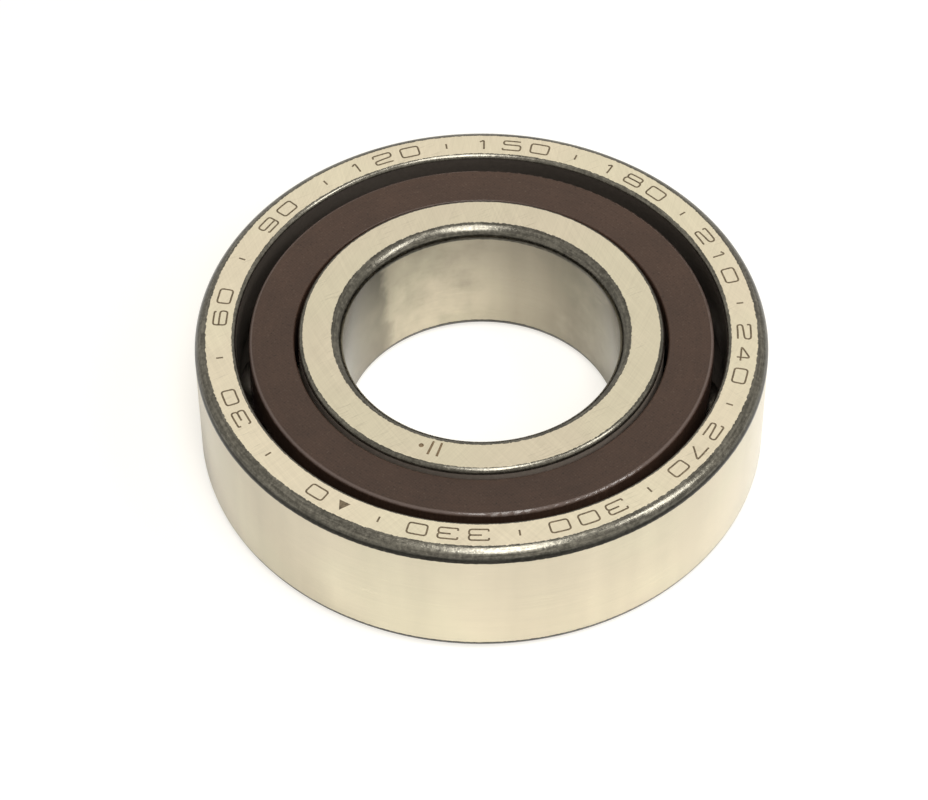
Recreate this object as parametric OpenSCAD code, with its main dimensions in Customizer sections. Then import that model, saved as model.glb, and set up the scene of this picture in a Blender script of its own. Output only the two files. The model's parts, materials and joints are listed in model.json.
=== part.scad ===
// Single row angular contact ball bearing with a one-piece machined cage.
// It lies on its wide back face, with the bearing axis along +Z and the origin at the
// centre of that face. Sections are drawn with x as the radius and y as the height.

/* [Boundary] */
// Diameter of the bore, which seats on the shaft
bore_d = 30; // [25:0.5:36]
// Outside diameter, which seats in the housing
outside_d = 62; // [51.5:0.5:75]
// Width of both rings
ring_w = 16; // [13:0.5:20]
// Size of the rounded corners beside the bore and the outside diameter
seat_corner = 1.3; // [0.6:0.1:1.8]

/* [Balls] */
// Ball diameter
ball_d = 7.541; // [6.2:0.001:9.1]
// How far the pitch circle lies inside the middle of the ring section
pitch_shift = 0.2; // [0:0.05:0.6]
// Angle of the first ball, from +X
first_ball_angle = 13.8; // [0:0.1:24]

/* [Raceways] */
// Contact angle, from the radial plane to the line of load
contact_angle = 25; // [12:1:30]
// Radius of the groove's section, as a share of the ball diameter
groove_conformity = 0.52; // [0.515:0.001:0.54]
// Clearance between a ball and each groove along the line of load
race_clearance = 0.05; // [0.03:0.01:0.08]
// Height of the inner ring's two shoulders above the balls' inmost point
inner_shoulder = 0.77; // [0.6:0.01:1.2]
// Height of the outer ring's back shoulder, measured in from the balls' outmost point
outer_shoulder = 1.22; // [1:0.01:1.6]
// Lip that the front counterbore keeps to hold the balls in
retaining_lip = 0.02; // [0.01:0.005:0.04]
// Size of the rounded edges of the inner ring's shoulders
inner_edge = 0.55; // [0.2:0.05:0.7]
// Size of the rounded edges inside the outer ring
outer_edge = 0.5; // [0.2:0.05:0.7]

/* [Cage] */
// How far each end of the cage lies below the ring faces
cage_recess = 0.75; // [0.4:0.05:1.2]
// Radial clearance of the cage inside the outer ring's back shoulder, which guides it
cage_guide_clearance = 0.2; // [0.1:0.02:0.3]
// Radial clearance of the cage around the inner ring's shoulders
cage_bore_clearance = 0.45; // [0.3:0.05:0.7]
// Thinnest web between neighbouring pockets, at the cage's bore
pocket_web_min = 0.6; // [0.4:0.05:1.6]
// Radial clearance of a ball in its pocket
pocket_clearance = 0.1; // [0.06:0.01:0.15]
// Size of the rounded edges at the cage's outside diameter
cage_outer_edge = 0.35; // [0.1:0.05:0.5]
// Size of the rounded edges at the cage's bore
cage_inner_edge = 0.2; // [0.1:0.05:0.4]

/* [Hidden] */
$fn = 96;
bore_r = bore_d / 2;
outside_r = outside_d / 2;
ball_r = ball_d / 2;
mid_z = ring_w / 2;
pitch_r = (bore_r + outside_r) / 2 - pitch_shift;

inner_land_r = pitch_r - ball_r + inner_shoulder;
outer_land_r = pitch_r + ball_r - outer_shoulder;
counterbore_r = pitch_r + ball_r - retaining_lip;

// The groove centres sit off the ball centre along the line of load, so that the outer
// ring carries a ball low on its outside and the inner ring carries it high on its inside.
groove_r = groove_conformity * ball_d;
groove_offset = groove_r - ball_r - race_clearance;
groove_dr = groove_offset * cos(contact_angle);
groove_dz = groove_offset * sin(contact_angle);

cage_outer_r = outer_land_r - cage_guide_clearance;
cage_bore_r = inner_land_r + cage_bore_clearance;
pocket_d = ball_d + 2 * pocket_clearance;
// As many balls as leave a web between their pockets
ball_count = floor(180 / asin((pocket_d + pocket_web_min) / (2 * cage_bore_r)));

// An edge takes at most these shares of the wall that it is cut from.
corner_share = 0.4;
edge_share = 0.25;
outer_corner = min(seat_corner, corner_share * (outside_r - counterbore_r));
inner_corner = min(seat_corner, corner_share * (inner_land_r - bore_r));
inner_land_edge = min(inner_edge, edge_share * (inner_land_r - bore_r));
outer_land_edge = min(outer_edge, edge_share * (outside_r - counterbore_r));

// An edge's arc is this much flatter than a quarter circle, so it breaks from each face.
edge_flatness = 1.15;
// How far a cutter runs past the face that it cuts
overrun = 0.5;

function ball_name(i) = str("ball_", i < 10 ? "0" : "", i);
function ball_angle(i) = first_ball_angle + (i - 1) * 360 / ball_count;

// Cuts a rounded edge of the given size on a corner at the origin, where the material
// lies at positive x and y.
module edge_cut(size) {
    centre = size * edge_flatness;
    difference() {
        translate([-overrun, -overrun]) square(centre + overrun);
        translate([centre, centre]) circle(r = norm([centre - size, centre]));
    }
}

// Edge cuts on the four corners of a section between two radii and two heights, each
// with its own size: inner bottom, outer bottom, inner top and outer top.
module section_edges(r_in_bottom, r_in_top, r_out, z_bottom, z_top, sizes) {
    translate([r_in_bottom, z_bottom]) edge_cut(sizes[0]);
    translate([r_out, z_bottom]) mirror([1, 0]) edge_cut(sizes[1]);
    translate([r_in_top, z_top]) mirror([0, 1]) edge_cut(sizes[2]);
    translate([r_out, z_top]) rotate(180) edge_cut(sizes[3]);
}

module outer_ring_section() {
    difference() {
        polygon([
            [outer_land_r, 0],
            [outside_r, 0],
            [outside_r, ring_w],
            [counterbore_r, ring_w],
            [counterbore_r, mid_z],
            [outer_land_r, mid_z]
        ]);
        translate([pitch_r - groove_dr, mid_z + groove_dz]) circle(r = groove_r);
        section_edges(outer_land_r, counterbore_r, outside_r, 0, ring_w,
            [outer_land_edge, outer_corner, outer_land_edge, outer_corner]);
    }
}

module inner_ring_section() {
    difference() {
        translate([bore_r, 0]) square([inner_land_r - bore_r, ring_w]);
        translate([pitch_r + groove_dr, mid_z - groove_dz]) circle(r = groove_r);
        section_edges(bore_r, bore_r, inner_land_r, 0, ring_w,
            [inner_corner, inner_land_edge, inner_corner, inner_land_edge]);
    }
}

module cage_section() {
    difference() {
        translate([cage_bore_r, cage_recess])
            square([cage_outer_r - cage_bore_r, ring_w - 2 * cage_recess]);
        section_edges(cage_bore_r, cage_bore_r, cage_outer_r, cage_recess, ring_w - cage_recess,
            [cage_inner_edge, cage_outer_edge, cage_inner_edge, cage_outer_edge]);
    }
}

module outer_ring() {
    color("#cfc6a8") rotate_extrude() outer_ring_section();
}

module inner_ring() {
    color("#d6ccac") rotate_extrude() inner_ring_section();
}

// One drilled pocket, along the radius through a ball's centre. It starts just inside
// the cage's bore, so that neighbouring pockets never meet.
module pocket(i) {
    start_r = cage_bore_r * cos(asin(pocket_d / (2 * cage_bore_r))) - overrun / 2;
    rotate([0, 0, ball_angle(i)])
        translate([start_r, 0, mid_z])
            rotate([0, 90, 0]) cylinder(d = pocket_d, h = cage_outer_r - start_r + overrun);
}

module cage() {
    color("#54423a") difference() {
        rotate_extrude() cage_section();
        for (i = [1:ball_count]) pocket(i);
    }
}

module ball(i) {
    color("#dcdcd8")
        rotate([0, 0, ball_angle(i)])
            translate([pitch_r, 0, mid_z]) sphere(d = ball_d);
}

outer_ring();
inner_ring();
cage();
for (i = [1:ball_count]) ball(i);
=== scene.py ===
import bmesh
import bpy
import json
import math
from mathutils import Matrix, Vector


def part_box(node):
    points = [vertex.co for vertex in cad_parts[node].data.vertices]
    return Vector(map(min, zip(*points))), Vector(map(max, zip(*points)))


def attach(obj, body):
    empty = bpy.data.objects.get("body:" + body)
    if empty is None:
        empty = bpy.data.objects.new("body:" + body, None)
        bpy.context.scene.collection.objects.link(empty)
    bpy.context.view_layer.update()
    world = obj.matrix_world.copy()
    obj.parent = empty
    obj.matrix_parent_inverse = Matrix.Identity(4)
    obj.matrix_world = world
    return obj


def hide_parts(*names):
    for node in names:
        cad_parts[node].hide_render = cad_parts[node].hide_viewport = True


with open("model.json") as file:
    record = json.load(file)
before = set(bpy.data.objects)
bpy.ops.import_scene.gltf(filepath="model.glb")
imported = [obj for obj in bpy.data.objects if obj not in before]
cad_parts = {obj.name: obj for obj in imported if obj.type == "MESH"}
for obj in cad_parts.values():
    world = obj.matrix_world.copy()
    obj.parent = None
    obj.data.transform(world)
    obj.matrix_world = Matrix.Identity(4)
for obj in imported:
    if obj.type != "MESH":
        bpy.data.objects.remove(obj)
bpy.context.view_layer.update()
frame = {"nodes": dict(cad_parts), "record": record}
print("frame loaded")

mm = 0.001
mounts = {m["name"]: m for m in frame["record"]["mounts"]}
low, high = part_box("outer_ring")
outsideR = high.x
ringTop = high.z
boreR = mounts["bore"]["dims"]["r_mm"] * mm
seatLength = mounts["bore"]["dims"]["length_mm"] * mm
seatCorner = (ringTop - seatLength) / 2          # corners beside the bore and the outside
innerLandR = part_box("inner_ring")[1].x
cageLow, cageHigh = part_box("cage")
cageMiddle = (cageHigh.z - cageLow.z) / 2
midHeight = ringTop / 2


class Wire:
    # one socket, with the operators that shader maths needs

    def __init__(self, graph, socket):
        self.graph = graph
        self.socket = socket

    def maths(self, operation, *others):
        inputs = dict(enumerate((self,) + others))
        return self.graph.node("ShaderNodeMath", {"operation": operation}, inputs)

    def __add__(self, other):
        return self.maths("ADD", other)

    def __radd__(self, other):
        return self.maths("ADD", other)

    def __sub__(self, other):
        return self.maths("SUBTRACT", other)

    def __rsub__(self, other):
        return self.graph.value(other).maths("SUBTRACT", self)

    def __mul__(self, other):
        return self.maths("MULTIPLY", other)

    def __rmul__(self, other):
        return self.maths("MULTIPLY", other)

    def __truediv__(self, other):
        return self.maths("DIVIDE", other)

    def __pow__(self, other):
        return self.maths("POWER", other)

    def between(self, start, end):
        # 0 below start, 1 above end, smooth in between
        inputs = {"Value": self, "From Min": start, "From Max": end}
        return self.graph.node("ShaderNodeMapRange", {"interpolation_type": "SMOOTHSTEP"}, inputs)


class Graph:
    # builds nodes in one tree

    def __init__(self, tree):
        self.tree = tree
        tree.nodes.clear()

    def node(self, kind, settings=None, inputs=None, output=0):
        made = self.tree.nodes.new(kind)
        for name, value in (settings or {}).items():
            setattr(made, name, value)
        for name, value in (inputs or {}).items():
            if isinstance(value, Wire):
                self.tree.links.new(value.socket, made.inputs[name])
            else:
                made.inputs[name].default_value = value
        return Wire(self, made.outputs[output]) if made.outputs else None

    def value(self, number):
        # a plain number as a wire
        return self.node("ShaderNodeMath", {"operation": "ADD"}, {0: number, 1: 0.0})

    def mix(self, factor, first, second, blend="MIX"):
        settings = {"data_type": "RGBA", "blend_type": blend}
        return self.node("ShaderNodeMix", settings, {0: factor, 6: first, 7: second}, output=2)

    def noise(self, vector, scale, detail=2.0, roughness=0.5):
        inputs = {"Vector": vector, "Scale": scale, "Detail": detail, "Roughness": roughness}
        return self.node("ShaderNodeTexNoise", None, inputs)

    def combine(self, x, y, z):
        return self.node("ShaderNodeCombineXYZ", None, {"X": x, "Y": y, "Z": z})

    def split(self, vector):
        # the x, y and z of a vector
        return [self.node("ShaderNodeSeparateXYZ", None, {0: vector}, output=axis) for axis in "XYZ"]


def rgba(colour):
    return tuple(colour) + (1.0,)


def addObject(name, data):
    made = bpy.data.objects.new(name, data)
    bpy.context.scene.collection.objects.link(made)
    return made


def newMaterial(name):
    material = bpy.data.materials.new(name)
    material.use_nodes = True
    return material, Graph(material.node_tree)


def cylinderCoordinates(graph):
    # object coordinates, with the radius and the height of each point
    place = graph.node("ShaderNodeTexCoord", output="Object")
    x, y, z = graph.split(place)
    radius = (x * x + y * y) ** 0.5
    return place, x, y, z, radius


def finishShader(graph, inputs):
    shader = graph.node("ShaderNodeBsdfPrincipled", None, inputs)
    graph.node("ShaderNodeOutputMaterial", None, {"Surface": shader})


steel = {
    "ground": (0.70, 0.645, 0.495),      # ground faces and seats, and where they are warmer
    "warmer": (0.70, 0.632, 0.492),
    "faceRoughness": 0.33,
    "seatRoughness": 0.24,
    "tumbled": (0.136, 0.129, 0.109),    # corners left as tumbled and hardened
    "tumbledRoughness": 0.22,
    "turned": (0.135, 0.115, 0.098),     # counterbore and raceway sides
    "turnedRoughness": 0.38,
    "turnedMetal": 0.55,
    "boundaryDepth": 0.006 * mm,         # how deep the grinding reaches into a corner
    "boundaryRagged": 0.080 * mm,        # how much deeper in the worst places
    "seatStop": 0.22 * mm,               # how far short of a front corner the ground seat stops
    "seatRagged": 0.25 * mm,
    "layCentre": 75 * mm,                # centres of the two families of grinding arcs
    "laySpacing": 0.16 * mm,             # from one arc to the next
    "layContrast": 0.40,
    "layDepth": 0.0012 * mm,
    "seatLaySpacing": 0.10 * mm,
    "scuffs": 0.16,                      # how dark the scuffs are
    "scuffSlant": math.radians(28),
    "scaleDepth": 0.0075 * mm,           # relief of the tumbled corners
    "rightShadeStart": -2 * mm,                # painted shade: where the darker right side of a seat starts and is full, along x
    "rightShadeEnd": 10 * mm,
    "rightShadeWander": 14 * mm,               # how far the edge of the painted shade on the right wanders, and that of the painted shade on the left
    "leftShadeWander": 4 * mm,
}

# how fine each pattern is, in bumps to a metre
steelPatterns = {
    "layWander": 160.0,
    "seatLayWander": 90.0,
    "mirroredBands": 210.0,
    "mirroredBandsUpward": 14.0,
    "clouds": 260.0,
    "warmth": 75.0,
    "scuffsAlong": 300.0,
    "scuffsAcross": 5600.0,
    "scuffPatches": 130.0,
    "specks": 1900.0,
    "ragged": 2600.0,
    "mottle": 2100.0,
    "streaksAlong": 190.0,
    "streaksAcross": 4200.0,
    "grain": 5200.0,
}

# the outer ring's marks, then the inner ring's
wallMarks = {
    "face": 1.02,                        # level of the front and back faces
    "level": 0.88,                       # level of the seat
    "mirroredBands": 0.26,                       # painted reflections of the room, as soft uprights
    "clouds": 0.06,
    "specks": 0.06,
    "rightShade": 0.03,                        # painted shade on the right
    "leftShade": 0.03,                        # painted shade on the left, and where it starts and ends
    "leftShadeStart": 3 * mm,
    "leftShadeEnd": 11 * mm,
    "top": 0.03,                         # painted shade: how much darker the seat is towards its top
    "seatEdgeShade": 0.78,                        # painted shade: how much darker the corner is next to the seat
    "scale": 1.0,                        # level of the tumbled corners
    "inside": 1.0,                       # level of the side that faces the balls
    "corner": 0.30 * mm,                 # how deep the corners on that side are tumbled
}
boreMarks = {
    "face": 0.90,
    "level": 0.76,
    "mirroredBands": 0.50,
    "clouds": 0.80,
    "specks": 0.22,
    "rightShade": 0.28,
    "leftShade": 0.42,
    "leftShadeStart": 9.4 * mm,
    "leftShadeEnd": 11.2 * mm,
    "top": 0.22,
    "seatEdgeShade": 0.25,
    "scale": 0.88,
    "inside": 2.8,
    "corner": 0.48 * mm,
}


def greyOf(graph, level):
    return graph.node("ShaderNodeCombineColor", None, {0: level, 1: level, 2: level})


def shaded(graph, colour, level):
    # a colour times a level
    return graph.mix(1.0, colour, greyOf(graph, level), "MULTIPLY")


def bumpOf(graph, height, strength=1.0):
    inputs = {"Strength": strength, "Distance": 1.0, "Height": height}
    return graph.node("ShaderNodeBump", None, inputs)


def faceLayOf(graph, x, y):
    # two families of fine arcs, as a face grinder leaves them
    lays = []
    wander = steelPatterns["layWander"]
    for side in (-1, 1):
        dx = x - side * steel["layCentre"]
        dy = y - steel["layCentre"] * 0.55
        distance = (dx * dx + dy * dy) ** 0.5
        vector = graph.combine(distance / steel["laySpacing"], x * wander, y * wander + side * 7.0)
        lays.append(graph.noise(vector, 1.0, 3.0, 0.6))
    return (lays[0] + lays[1]) * 0.5 - 0.5


def seatLayOf(graph, x, y, z):
    # fine lines round a seat
    wander = steelPatterns["seatLayWander"]
    vector = graph.combine(z / steel["seatLaySpacing"], x * wander, y * wander)
    return graph.noise(vector, 1.0, 3.0, 0.6) - 0.5


def scuffsOf(graph, place, x, y):
    # short scuffs in patches
    across = math.cos(steel["scuffSlant"])
    upward = math.sin(steel["scuffSlant"])
    along = (x * across + y * upward) * steelPatterns["scuffsAlong"]
    beside = (y * across - x * upward) * steelPatterns["scuffsAcross"]
    scuffs = graph.noise(graph.combine(along, beside, 0.0), 1.0, 2.0, 0.5).between(0.58, 0.70)
    return scuffs * graph.noise(place, steelPatterns["scuffPatches"], 2.0, 0.5).between(0.46, 0.60)


def ringSteel(name, innerR, outerR, seatR, marks):
    material, graph = newMaterial(name)
    place, x, y, z, radius = cylinderCoordinates(graph)
    middleR = (innerR + outerR) / 2

    # distance under the nearer face, and distance in from the seat's cylinder
    faceDepth = midHeight - (z - midHeight).maths("ABSOLUTE")
    seatDepth = (radius - seatR).maths("ABSOLUTE")

    # where the ground faces and the ground seat end
    ragged = graph.noise(place, steelPatterns["ragged"], 4.0, 0.62)
    limit = steel["boundaryDepth"] + (ragged - 0.42).maths("MAXIMUM", 0.0) * steel["boundaryRagged"]
    onFace = 1 - (faceDepth - limit).between(-0.004 * mm, 0.006 * mm)
    onSeat = 1 - (seatDepth - limit).between(-0.004 * mm, 0.006 * mm)
    frontSide = (z - midHeight).between(0, 1 * mm)
    seatStart = seatCorner + steel["seatStop"] * frontSide + (ragged - 0.5) * steel["seatRagged"]
    onSeat = onSeat * (faceDepth - seatStart).between(-0.01 * mm, 0.02 * mm)
    ground = onFace.maths("MAXIMUM", onSeat)

    # the side that faces the balls
    ballSide = (radius - middleR) * (1 if seatR < middleR else -1)
    reach = marks["corner"]
    inside = ballSide.between(-0.001 * mm, 0.001 * mm) * faceDepth.between(reach, reach + 0.3 * mm)

    # grinding lay, painted reflections as soft uprights, clouds and specks
    lay = faceLayOf(graph, x, y) * onFace + seatLayOf(graph, x, y, z) * onSeat * 0.5
    fine = steelPatterns["mirroredBands"]
    mirroredBandVector = graph.combine(x * fine, y * fine, z * steelPatterns["mirroredBandsUpward"])
    mirroredBands = graph.noise(mirroredBandVector, 1.0, 3.0, 0.55) - 0.5
    clouds = graph.noise(place, steelPatterns["clouds"], 5.0, 0.62) - 0.5
    specks = graph.noise(place, steelPatterns["specks"], 3.0, 0.7).between(0.66, 0.80)
    scuffs = scuffsOf(graph, place, x, y) * onFace

    # painted shade on the seats: darker on the right, on the left and towards the top
    rightShade = (x + clouds * steel["rightShadeWander"]).between(steel["rightShadeStart"], steel["rightShadeEnd"])
    leftShade = (x * -1 + clouds * steel["leftShadeWander"]).between(marks["leftShadeStart"], marks["leftShadeEnd"])
    upward = z.between(0.25 * ringTop, ringTop)
    paintedShade = rightShade * marks["rightShade"] + leftShade * marks["leftShade"] + upward * marks["top"]

    groundLevel = 1.0 + lay * steel["layContrast"] + clouds * 0.08 - scuffs * steel["scuffs"]
    groundLevel = groundLevel * (1 - onFace * (1 - marks["face"]))
    # painted reflections as soft uprights, and clouds, on the seat
    groundLevel = groundLevel + onSeat * (mirroredBands * marks["mirroredBands"] + clouds * marks["clouds"])
    groundLevel = groundLevel * (1 - specks * onSeat * marks["specks"])
    # the seat's level, less its painted shade
    groundLevel = groundLevel * (1 - onSeat * (1 - marks["level"] + paintedShade))
    warmth = graph.noise(place, steelPatterns["warmth"], 2.0, 0.5).between(0.40, 0.60)
    groundColour = graph.mix(warmth, rgba(steel["ground"]), rgba(steel["warmer"]))
    groundColour = shaded(graph, groundColour, groundLevel)

    # tumbled corners: scale that lies round the ring, worn bright in places
    turn = y.maths("ARCTAN2", x)
    fine = steelPatterns["streaksAcross"]
    around = turn * (middleR * steelPatterns["streaksAlong"])
    streak = graph.noise(graph.combine(around, faceDepth * fine, seatDepth * fine), 1.0, 4.0, 0.65)
    mottle = graph.noise(place, steelPatterns["mottle"], 5.0, 0.70)
    grain = graph.noise(place, steelPatterns["grain"], 3.0, 0.6)
    bright = (mottle * 0.5 + streak * 0.5).between(0.38, 0.66)
    tumbledLevel = 0.55 + bright * 0.85 + grain.between(0.52, 0.74) * 0.55
    # painted shade on the corner next to the seat
    seatEdgeShade = 1 - seatDepth.between(0.04 * mm, 0.20 * mm)
    tumbledLevel = tumbledLevel * (1 - seatEdgeShade * marks["seatEdgeShade"]) * marks["scale"]
    tumbledColour = shaded(graph, rgba(steel["tumbled"]), tumbledLevel)
    turnedLevel = (0.7 + mottle * 0.6) * marks["inside"]
    turnedColour = shaded(graph, rgba(steel["turned"]), turnedLevel)

    colour = graph.mix(inside, tumbledColour, turnedColour)
    colour = graph.mix(ground, colour, groundColour)
    scaleRoughness = steel["tumbledRoughness"] + (mottle - 0.5) * 0.20
    scaleRoughness = scaleRoughness * (1 - inside) + steel["turnedRoughness"] * inside
    groundRoughness = steel["faceRoughness"] * (1 - onSeat) + steel["seatRoughness"] * onSeat
    groundRoughness = groundRoughness + lay * 0.25 + clouds * 0.12
    roughness = scaleRoughness * (1 - ground) + groundRoughness * ground
    metal = 1 - inside * (1 - ground) * (1 - steel["turnedMetal"])

    scale = (grain + mottle + streak) * steel["scaleDepth"] * (1 - ground) * (1 - inside)
    normal = bumpOf(graph, lay * steel["layDepth"] * ground + scale)
    finishShader(graph, {"Base Color": colour, "Metallic": metal, "Roughness": roughness,
                         "Normal": normal})
    return material


laminate = {
    "base": (0.060, 0.033, 0.022),
    "dark": (0.014, 0.008, 0.005),
    "pale": (0.170, 0.125, 0.090),
    "rubbedHighlight": (0.200, 0.155, 0.140),     # along the outer edges, rubbed and with a painted highlight
    "rubbedHighlightShare": 0.38,
    "roughness": 0.42,
    "rubbedRoughness": 0.15,
    "weave": 0.42 * mm,                  # pitch of the cotton threads
    "turning": 0.09 * mm,                # pitch of the tool marks
    "relief": 0.006 * mm,
    "rubbedHighlightWidth": (0.40 * mm, 0.26 * mm),   # in from the outside, where the rubbed edge and its painted highlight start and are full
    "rubbedHighlightDepth": (0.16 * mm, 0.30 * mm),   # under the end, where it is full and stops
    "warpWander": 500.0,                 # how fine each pattern is, in bumps to a metre
    "weftWander": 430.0,
    "fibre": 3400.0,
    "clouds": 260.0,
    "level": 0.44,
    "frontShadeSlope": 4.0,                         # painted shade: how much paler it is for each metre towards the back, so darker at the front
    "shine": 1.38,                       # index of refraction
}


def cageLaminate(name):
    material, graph = newMaterial(name)
    place, x, y, z, radius = cylinderCoordinates(graph)
    threadTurn = 2 * math.pi / laminate["weave"]
    warp = (x * threadTurn + graph.noise(place, laminate["warpWander"]) * 5.0).maths("SINE")
    weft = (y * threadTurn + graph.noise(place, laminate["weftWander"]) * 5.0).maths("SINE")
    weave = (warp * weft).between(-0.9, 0.9)
    fibre = graph.noise(place, laminate["fibre"], 4.0, 0.65)
    cloud = graph.noise(place, laminate["clouds"], 3.0, 0.55)
    toolVector = graph.combine(radius / laminate["turning"], z / laminate["turning"], cloud * 0.3)
    toolMarks = graph.noise(toolVector, 1.0)

    darkFlecks = fibre.between(0.55, 0.72)
    paleFlecks = 1 - fibre.between(0.28, 0.42)
    colour = graph.mix(darkFlecks * 0.75, rgba(laminate["base"]), rgba(laminate["dark"]))
    colour = graph.mix(paleFlecks * 0.35, colour, rgba(laminate["pale"]))
    # painted shade: darker towards the front, paler towards the back
    level = laminate["level"] + y * laminate["frontShadeSlope"]
    level = level + weave * 0.14 + cloud * 0.44 + (toolMarks - 0.5) * 0.30
    colour = shaded(graph, colour, level)

    # outer edges rubbed by the ring, with a painted highlight along them
    startIn, fullIn = laminate["rubbedHighlightWidth"]
    fullDown, stopDown = laminate["rubbedHighlightDepth"]
    edgeDepth = cageMiddle - (z - midHeight).maths("ABSOLUTE")
    rim = radius.between(cageHigh.x - startIn, cageHigh.x - fullIn)
    rim = rim * (1 - edgeDepth.between(fullDown, stopDown))
    colour = graph.mix(rim * laminate["rubbedHighlightShare"], colour, rgba(laminate["rubbedHighlight"]))
    roughness = laminate["roughness"] + (fibre - 0.5) * 0.3
    roughness = roughness * (1 - rim) + laminate["rubbedRoughness"] * rim

    normal = bumpOf(graph, (toolMarks * 0.5 + weave * 0.2 + fibre * 0.6) * laminate["relief"])
    finishShader(graph, {"Base Color": colour, "Roughness": roughness, "IOR": laminate["shine"],
                         "Normal": normal})
    return material


ballFinish = {
    "colour": (0.80, 0.80, 0.79),
    "roughness": 0.06,
    "relief": 0.0004 * mm,
    "smears": 420.0,                     # bumps to a metre
    "scratches": 5000.0,
}


def ballSteel(name):
    material, graph = newMaterial(name)
    place = graph.node("ShaderNodeTexCoord", output="Object")
    smear = graph.noise(place, ballFinish["smears"], 3.0, 0.55)
    scratch = graph.noise(place, ballFinish["scratches"], 2.0, 0.5).between(0.62, 0.72)
    colour = shaded(graph, rgba(ballFinish["colour"]), 0.93 + smear * 0.12)
    roughness = ballFinish["roughness"] + smear * 0.05 + scratch * 0.04
    normal = bumpOf(graph, smear * ballFinish["relief"], 0.6)
    finishShader(graph, {"Base Color": colour, "Metallic": 1.0, "Roughness": roughness,
                         "Normal": normal})
    return material


etch = {
    "grain": 3800.0,                     # bumps to a metre
    "metal": 0.5,
    "roughness": 0.5,
}


def etchedSteel(name, marks):
    # burnt lines, darker and paler by turns
    material, graph = newMaterial(name)
    place = graph.node("ShaderNodeTexCoord", output="Object")
    burn = graph.noise(place, etch["grain"], 4.0, 0.65).between(0.30, 0.70)
    colour = graph.mix(burn, rgba(marks["dark"]), rgba(marks["pale"]))
    roughness = etch["roughness"] + burn * 0.2
    finishShader(graph, {"Base Color": colour, "Metallic": etch["metal"], "Roughness": roughness})
    return material


def startTree(name, inputs, result):
    # a tree with named inputs and one shape as its result, and the wires of its inputs
    tree = bpy.data.node_groups.new(name, "GeometryNodeTree")
    graph = Graph(tree)
    for label, kind in inputs:
        tree.interface.new_socket(label, in_out="INPUT", socket_type="NodeSocket" + kind)
    tree.interface.new_socket(result, in_out="OUTPUT", socket_type="NodeSocketGeometry")
    given = tree.nodes.new("NodeGroupInput")
    return graph, [Wire(graph, given.outputs[i]) for i in range(len(inputs))]


def finishTree(graph, shape, finish):
    smooth = graph.node("GeometryNodeSetShadeSmooth", None, {0: shape})
    real = graph.node("GeometryNodeRealizeInstances", None, {0: smooth})
    done = graph.node("GeometryNodeSetMaterial", None, {"Geometry": real, "Material": finish})
    graph.node("NodeGroupOutput", None, {0: done})
    return graph.tree


def sweepTree():
    # sweeps a closed section round the axis
    inputs = [("Section", "Geometry"), ("Base Radius", "Float"), ("Segments", "Int"),
              ("Finish", "Material")]
    graph, (section, baseRadius, segments, finish) = startTree("sweptRing", inputs, "Ring")
    path = graph.node("GeometryNodeCurvePrimitiveCircle", {"mode": "RADIUS"},
                      {"Radius": baseRadius, "Resolution": segments})
    outline = graph.node("GeometryNodeMeshToCurve", None, {0: section})
    ring = graph.node("GeometryNodeCurveToMesh", None, {0: path, 1: outline})
    return finishTree(graph, ring, finish)


def applyTree(name, source, tree, values):
    # runs a node tree on a source mesh and keeps the result as a plain mesh
    carrier = addObject(name + "Source", source)
    modifier = carrier.modifiers.new("nodes", "NODES")
    modifier.node_group = tree
    for item in tree.interface.items_tree:
        if item.in_out == "INPUT" and item.name in values:
            modifier[item.identifier] = values[item.name]
    carrier.update_tag()
    bpy.context.view_layer.update()
    evaluated = carrier.evaluated_get(bpy.context.evaluated_depsgraph_get())
    mesh = bpy.data.meshes.new_from_object(evaluated)
    mesh.name = name
    bpy.data.objects.remove(carrier)
    return addObject(name, mesh)


sweep = {
    "segments": 360,                     # round a ring
    "cornerSteps": 14,
    "grooveSteps": 40,
    "edgeFlatness": 1.15,                # how much flatter a corner is than a quarter circle
    "guard": 0.02 * mm,                  # flat strip beside a corner, which keeps the shading flat
    "sharpAngle": math.radians(20),      # an edge is shaded sharp above this
}
races = {
    "pitchR": 22.8 * mm,
    "ballD": 7.541 * mm,
    "conformity": 0.52,                  # radius of a groove, as a share of the ball diameter
    "clearance": 0.05 * mm,              # between ball and groove, along the line of load
    "contactAngle": math.radians(25),
    "counterboreR": 26.5505 * mm,
    "outerLandR": 25.3505 * mm,
    "outerEdge": 0.5 * mm,
    "innerEdge": 0.55 * mm,
}
grooveR = races["conformity"] * races["ballD"]
grooveShift = grooveR - races["ballD"] / 2 - races["clearance"]     # from the ball's centre
shiftR = grooveShift * math.cos(races["contactAngle"])
shiftZ = grooveShift * math.sin(races["contactAngle"])


def cornerArc(cornerR, cornerZ, size, sideR, sideZ, fromFace):
    # points of a rounded corner, from the flat face to the wall or back
    centre = size * sweep["edgeFlatness"]
    radius = math.hypot(centre - size, centre)
    first = math.atan2(-centre, size - centre)
    last = math.atan2(size - centre, -centre)
    if last > first:
        last -= 2 * math.pi
    steps = sweep["cornerSteps"]
    angles = [first + (last - first) * i / steps for i in range(steps + 1)]
    points = [(size + sweep["guard"], 0.0)]
    points += [(centre + radius * math.cos(a), centre + radius * math.sin(a)) for a in angles]
    points += [(0.0, size + sweep["guard"])]
    points = [(cornerR + sideR * u, cornerZ + sideZ * v) for u, v in points]
    return points if fromFace else points[::-1]


def heightOnGroove(centreR, centreZ, wallR, side):
    # where a raceway meets a wall, above (1) or below (-1) its centre
    return centreZ + side * math.sqrt(grooveR ** 2 - (wallR - centreR) ** 2)


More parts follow.
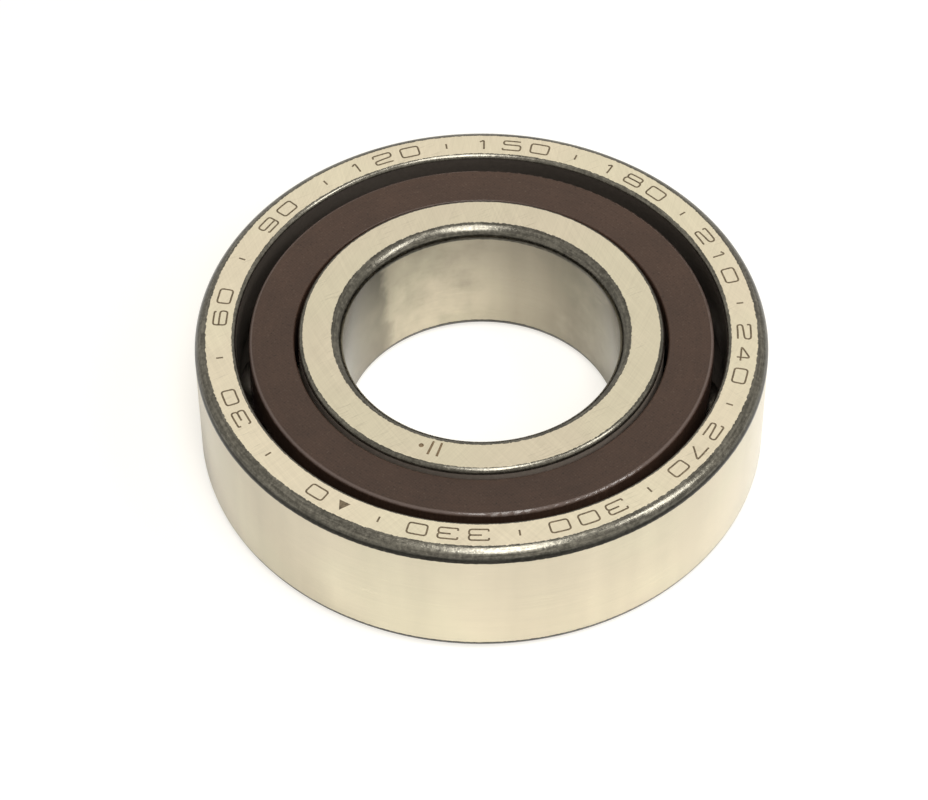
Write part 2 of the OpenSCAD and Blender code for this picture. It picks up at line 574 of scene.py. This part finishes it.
def grooveArc(centreR, centreZ, startZ, endZ, side):
    # points of a raceway between two heights, on its outer (1) or inner (-1) side
    first = math.asin((startZ - centreZ) / grooveR)
    last = math.asin((endZ - centreZ) / grooveR)
    steps = sweep["grooveSteps"]
    angles = [first + (last - first) * i / steps for i in range(steps + 1)]
    return [(centreR + side * grooveR * math.cos(a), centreZ + grooveR * math.sin(a)) for a in angles]


def sectionMesh(name, points, baseRadius):
    # the sweep turns a section's y axis downwards
    mesh = bpy.data.meshes.new(name)
    edges = [(i, (i + 1) % len(points)) for i in range(len(points))]
    mesh.from_pydata([(r - baseRadius, -z, 0) for r, z in points], edges, [])
    return mesh


def outerSection():
    centreR = races["pitchR"] - shiftR
    centreZ = midHeight + shiftZ
    topZ = heightOnGroove(centreR, centreZ, races["counterboreR"], 1)
    lowZ = heightOnGroove(centreR, centreZ, races["outerLandR"], -1)
    points = cornerArc(races["outerLandR"], 0, races["outerEdge"], 1, 1, True)
    points += grooveArc(centreR, centreZ, lowZ, topZ, 1)
    points += cornerArc(races["counterboreR"], ringTop, races["outerEdge"], 1, -1, False)
    points += cornerArc(outsideR, ringTop, seatCorner, -1, -1, True)
    points += cornerArc(outsideR, 0, seatCorner, -1, 1, False)
    return points


def innerSection():
    centreR = races["pitchR"] + shiftR
    centreZ = midHeight - shiftZ
    topZ = heightOnGroove(centreR, centreZ, innerLandR, 1)
    lowZ = heightOnGroove(centreR, centreZ, innerLandR, -1)
    points = cornerArc(boreR, 0, seatCorner, 1, 1, True)
    points += cornerArc(boreR, ringTop, seatCorner, 1, -1, False)
    points += cornerArc(innerLandR, ringTop, races["innerEdge"], -1, -1, True)
    points += grooveArc(centreR, centreZ, topZ, lowZ, -1)
    points += cornerArc(innerLandR, 0, races["innerEdge"], -1, 1, False)
    return points


def sweptRing(name, points, material, body, node, tree):
    baseRadius = (boreR + outsideR) / 2
    values = {"Base Radius": baseRadius, "Segments": sweep["segments"], "Finish": material}
    piece = applyTree(name, sectionMesh(name, points, baseRadius), tree, values)
    piece.data.set_sharp_from_angle(angle=sweep["sharpAngle"])
    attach(piece, body)
    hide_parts(node)


ringTree = sweepTree()
outerSteel = ringSteel("outerRingSteel", races["outerLandR"], outsideR, outsideR, wallMarks)
innerSteel = ringSteel("innerRingSteel", boreR, innerLandR, boreR, boreMarks)
sweptRing("outerRingTurned", outerSection(), outerSteel, "outer", "outer_ring", ringTree)
sweptRing("innerRingTurned", innerSection(), innerSteel, "inner", "inner_ring", ringTree)
print("rings swept")


dial = {
    "radius": 28.35 * mm,                # middle of the numerals
    "turn": 217.5,                       # place of the nought, in degrees clockwise from the back
    "step": 30,                          # degrees from one number to the next
    "height": 1.42 * mm,
    "width": 2.05 * mm,
    "pitch": 3.20 * mm,                  # from one digit to the next
    "rounding": 0.34 * mm,               # how far from a digit's corners its curves start
    "stroke": 0.104 * mm,                # half the width of a cut line
    "flatness": 0.12,                    # height of a cut line, as a share of its width
    "tick": 0.75 * mm,
    "pointer": 1.35 * mm,
    "pointerGap": 6.5,                   # degrees from the nought to the pointer
    "pointerRise": 0.008 * mm,
    "dark": (0.070, 0.052, 0.030),
    "pale": (0.200, 0.155, 0.098),
}
innerMark = {
    "radius": 17.45 * mm,
    "turn": 198.6,
    "stroke": 0.125 * mm,
    "flatness": 0.10,
    "lines": (-1.10 * mm, -0.15 * mm),
    "lean": 0.10 * mm,                   # how far each line leans, as it is set by hand
    "dot": 0.95 * mm,
    "dotRadius": 0.16 * mm,
    "length": 1.90 * mm,
    "dark": (0.110, 0.070, 0.035),
    "pale": (0.230, 0.170, 0.100),
}

# each digit as runs of points on a box one wide and one high, and whether a run closes
digitRuns = {
    "0": [([(0, 0), (1, 0), (1, 1), (0, 1)], True)],
    "1": [([(0.30, 0.80), (0.52, 1), (0.52, 0)], False)],
    "2": [([(0, 0.74), (0, 1), (1, 1), (1, 0.52), (0, 0.38), (0, 0), (1, 0)], False)],
    "3": [([(0, 0.80), (0, 1), (1, 1), (1, 0.53), (0.35, 0.53)], False),
          ([(0.60, 0.53), (1, 0.53), (1, 0), (0, 0), (0, 0.20)], False)],
    "4": [([(0.76, 0), (0.76, 1), (0, 0.30), (1, 0.30)], False)],
    "5": [([(0.95, 1), (0.05, 1), (0.05, 0.58), (1, 0.58), (1, 0), (0, 0), (0, 0.18)], False)],
    "6": [([(0.92, 0.86), (0.92, 1), (0, 1), (0, 0), (1, 0), (1, 0.56), (0, 0.56)], False)],
    "7": [([(0, 1), (1, 1), (0.38, 0)], False)],
    "8": [([(0.06, 0.54), (0.94, 0.54), (0.94, 1), (0.06, 1)], True),
          ([(0, 0), (1, 0), (1, 0.54), (0, 0.54)], True)],
    "9": [([(0.08, 0.14), (0.08, 0), (1, 0), (1, 1), (0, 1), (0, 0.44), (1, 0.44)], False)],
}


def roundedRun(points, closed, size):
    # softens the corners of a run of points
    made = []
    count = len(points)
    for i, point in enumerate(points):
        here = Vector(point)
        if not closed and i in (0, count - 1):
            made.append(here)
            continue
        toward = Vector(points[i - 1]) - here
        onward = Vector(points[(i + 1) % count]) - here
        reach = min(size, toward.length * 0.48, onward.length * 0.48)
        start = here + toward.normalized() * reach
        end = here + onward.normalized() * reach
        for t in (0, 0.25, 0.5, 0.75, 1):
            made.append(start * (1 - t) ** 2 + here * 2 * t * (1 - t) + end * t ** 2)
    return made


def addRun(store, points, closed=False):
    # adds a run of flat points to a pair of lists of points and edges
    vertices, edges = store
    first = len(vertices)
    vertices.extend((point[0], point[1], 0) for point in points)
    edges.extend((first + i, first + i + 1) for i in range(len(points) - 1))
    if closed:
        edges.append((first + len(points) - 1, first))


def dialRuns():
    # numbers and ticks laid out on a straight strip, x along the circle and y outwards
    store = ([], [])
    arc = math.radians(1) * dial["radius"]
    for degrees in range(0, 360, dial["step"]):
        text = str(degrees)
        centre = (dial["turn"] + degrees) * arc
        for place, digit in enumerate(text):
            left = centre + (place - (len(text) - 1) / 2) * dial["pitch"] - dial["width"] / 2
            for points, closed in digitRuns[digit]:
                sized = [(x * dial["width"], y * dial["height"]) for x, y in points]
                soft = roundedRun(sized, closed, dial["rounding"])
                addRun(store, [(left + p.x, p.y - dial["height"] / 2) for p in soft], closed)
        middle = centre + dial["step"] / 2 * arc
        addRun(store, [(middle, -dial["tick"] / 2), (middle, dial["tick"] / 2)])
    return store


def innerRuns():
    # two short lines and a dot
    store = ([], [])
    centre = math.radians(innerMark["turn"]) * innerMark["radius"]
    half = innerMark["length"] / 2
    for offset in innerMark["lines"]:
        start = centre + offset
        addRun(store, [(start, -half), (start + innerMark["lean"], half)])
    dot = centre + innerMark["dot"]
    size = innerMark["dotRadius"]
    turns = [math.radians(45 * i) for i in range(8)]
    addRun(store, [(dot + size * math.cos(a), size * math.sin(a)) for a in turns], True)
    return store


def bentMarksTree():
    # turns flat runs into thin cut lines and bends the strip into a circle
    inputs = [("Runs", "Geometry"), ("Stroke", "Float"), ("Flatness", "Float"),
              ("Circle Radius", "Float"), ("Height", "Float"), ("Finish", "Material")]
    graph, wires = startTree("bentMarks", inputs, "Marks")
    runs, stroke, flatness, circleRadius, height, finish = wires
    curve = graph.node("GeometryNodeMeshToCurve", None, {0: runs})
    finer = graph.node("GeometryNodeSubdivideCurve", None, {0: curve, 1: 2})
    tip = graph.node("GeometryNodeCurvePrimitiveCircle", {"mode": "RADIUS"},
                     {"Radius": stroke, "Resolution": 8})
    lines = graph.node("GeometryNodeCurveToMesh", None,
                       {"Curve": finer, "Profile Curve": tip, "Fill Caps": True})
    x, y, z = graph.split(graph.node("GeometryNodeInputPosition"))
    angle = x / circleRadius
    reach = circleRadius + y
    across = reach * angle.maths("SINE")
    back = reach * angle.maths("COSINE")
    bent = graph.combine(across, back, height + z * flatness)
    turned = graph.node("GeometryNodeSetPosition", None, {"Geometry": lines, "Position": bent})
    return finishTree(graph, turned, finish)


def cutMarks(name, runs, marks, material, tree, body):
    vertices, edges = runs
    source = bpy.data.meshes.new(name + "Runs")
    source.from_pydata(vertices, edges, [])
    values = {"Stroke": marks["stroke"], "Flatness": marks["flatness"],
              "Circle Radius": marks["radius"], "Height": ringTop, "Finish": material}
    piece = applyTree(name, source, tree, values)
    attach(piece, body)


def addPointer(material):
    # small flat wedge beside the nought, from which the numbers are read
    turn = math.radians(dial["turn"] - dial["pointerGap"])
    outward = Vector((math.sin(turn), math.cos(turn), 0))
    along = Vector((math.cos(turn), -math.sin(turn), 0))
    half = dial["pointer"] / 2
    tip = outward * (dial["radius"] + half)
    foot = outward * (dial["radius"] - half * 0.8)
    corners = [tip, along * half + foot, -along * half + foot]
    heights = (ringTop - dial["pointerRise"], ringTop + dial["pointerRise"])
    vertices = [corner + Vector((0, 0, z)) for z in heights for corner in corners]
    faces = [(0, 1, 2), (5, 4, 3), (0, 3, 4, 1), (1, 4, 5, 2), (2, 5, 3, 0)]
    mesh = bpy.data.meshes.new("dialPointer")
    mesh.from_pydata(vertices, [], faces)
    shell = bmesh.new()
    shell.from_mesh(mesh)
    bmesh.ops.recalc_face_normals(shell, faces=shell.faces)
    shell.to_mesh(mesh)
    shell.free()
    mesh.materials.append(material)
    piece = addObject("dialPointer", mesh)
    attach(piece, "outer")


marksTree = bentMarksTree()
dialEtch = etchedSteel("dialNumbersEtch", dial)
innerEtch = etchedSteel("innerIndexEtch", innerMark)
cutMarks("dialNumbers", dialRuns(), dial, dialEtch, marksTree, "outer")
cutMarks("innerIndex", innerRuns(), innerMark, innerEtch, marksTree, "inner")
addPointer(dialEtch)
print("dial marked")


def dress(nodeName, material):
    mesh = frame["nodes"][nodeName].data
    mesh.materials.clear()
    mesh.materials.append(material)


dress("cage", cageLaminate("cageLaminate"))
ballMaterial = ballSteel("ballSteel")
for nodeName in frame["nodes"]:
    if nodeName.startswith("ball_"):
        dress(nodeName, ballMaterial)
print("cage and balls finished")


studio = {
    "floorSize": 3.0,
    "floorGap": 0.02 * mm,               # keeps the floor just under the rings
    "floorColour": (0.93, 0.93, 0.93),
    "floorGlow": 0.60,                   # lightens the floor for the camera, and its shadows
    "glowColour": (1.21, 1.17, 1.09),
    "worldLevel": 0.24,
    "worldColour": (1.0, 0.965, 0.895),
    "lampColour": (1.0, 0.985, 0.95),
    "keyPlace": (0.060, -0.35, 0.60),    # looks straight down, from above and in front
    "keyWidth": 0.24,
    "keyLength": 0.64,
    "keyPower": 4.5,
    "sidePlace": (0.42, -0.125, 0.435),  # looks at the bearing from the right
    "sideWidth": 0.10,
    "sideLength": 0.34,
    "sidePower": 1.3,
}


def makeFloor():
    half = studio["floorSize"] / 2
    corners = [(-half, -half, 0), (half, -half, 0), (half, half, 0), (-half, half, 0)]
    mesh = bpy.data.meshes.new("floor")
    mesh.from_pydata(corners, [], [(0, 1, 2, 3)])
    floor = addObject("floor", mesh)
    floor.location.z = low.z - studio["floorGap"]
    material, graph = newMaterial("paper")
    paper = graph.node("ShaderNodeBsdfDiffuse", None, {"Color": rgba(studio["floorColour"])})
    glow = graph.node("ShaderNodeEmission", None, {"Color": rgba(studio["glowColour"])})
    seen = graph.node("ShaderNodeLightPath", output="Is Camera Ray")
    factor = seen * studio["floorGlow"]
    shader = graph.node("ShaderNodeMixShader", None, {0: factor, 1: paper, 2: glow})
    graph.node("ShaderNodeOutputMaterial", None, {"Surface": shader})
    mesh.materials.append(material)


def makeWorld():
    # white where it is seen or mirrored, soft where it lights
    world = bpy.data.worlds.new("studio")
    bpy.context.scene.world = world
    world.use_nodes = True
    graph = Graph(world.node_tree)
    seen = graph.node("ShaderNodeLightPath", output="Is Camera Ray")
    glossy = graph.node("ShaderNodeLightPath", output="Is Glossy Ray")
    through = graph.node("ShaderNodeLightPath", output="Is Transmission Ray")
    shown = (seen + glossy + through).maths("MINIMUM", 1.0)
    strength = shown * (1 - studio["worldLevel"]) + studio["worldLevel"]
    colour = graph.mix(seen, rgba(studio["worldColour"]), rgba((1.0, 1.0, 1.0)))
    lit = graph.node("ShaderNodeBackground", None, {"Color": colour, "Strength": strength})
    graph.node("ShaderNodeOutputWorld", None, {"Surface": lit})


def makeLamp(name):
    light = bpy.data.lights.new(name, "AREA")
    light.shape = "ELLIPSE"
    light.size = studio[name + "Width"]
    light.size_y = studio[name + "Length"]
    light.energy = studio[name + "Power"]
    light.color = studio["lampColour"]
    lamp = addObject(name, light)
    lamp.location = studio[name + "Place"]
    return lamp


view = {
    "elevation": 48.926,                 # degrees above the floor
    "distance": 380.4 * mm,              # from the point that the camera looks at
    "aim": Vector((-1.935, -8.83, 14.7)) * mm,
    "roll": -0.44,                       # degrees
    "lens": 138.47,                      # focal length on a sensor 36 mm wide
}


def makeCamera():
    data = bpy.data.cameras.new("camera")
    data.sensor_width = 36
    data.lens = view["lens"]
    data.clip_start = 0.01
    camera = addObject("camera", data)
    tilt = math.radians(90 - view["elevation"])
    turn = Matrix.Rotation(tilt, 4, "X") @ Matrix.Rotation(math.radians(view["roll"]), 4, "Z")
    back = turn.to_3x3() @ Vector((0, 0, view["distance"]))
    camera.matrix_world = Matrix.Translation(view["aim"] + back) @ turn
    bpy.context.scene.camera = camera


makeFloor()
makeWorld()
makeLamp("key")
sideLamp = makeLamp("side")
sideLamp.rotation_euler = sideLamp.location.to_track_quat("Z", "Y").to_euler()
makeCamera()
bpy.context.scene.view_settings.view_transform = "Standard"
print("studio ready")
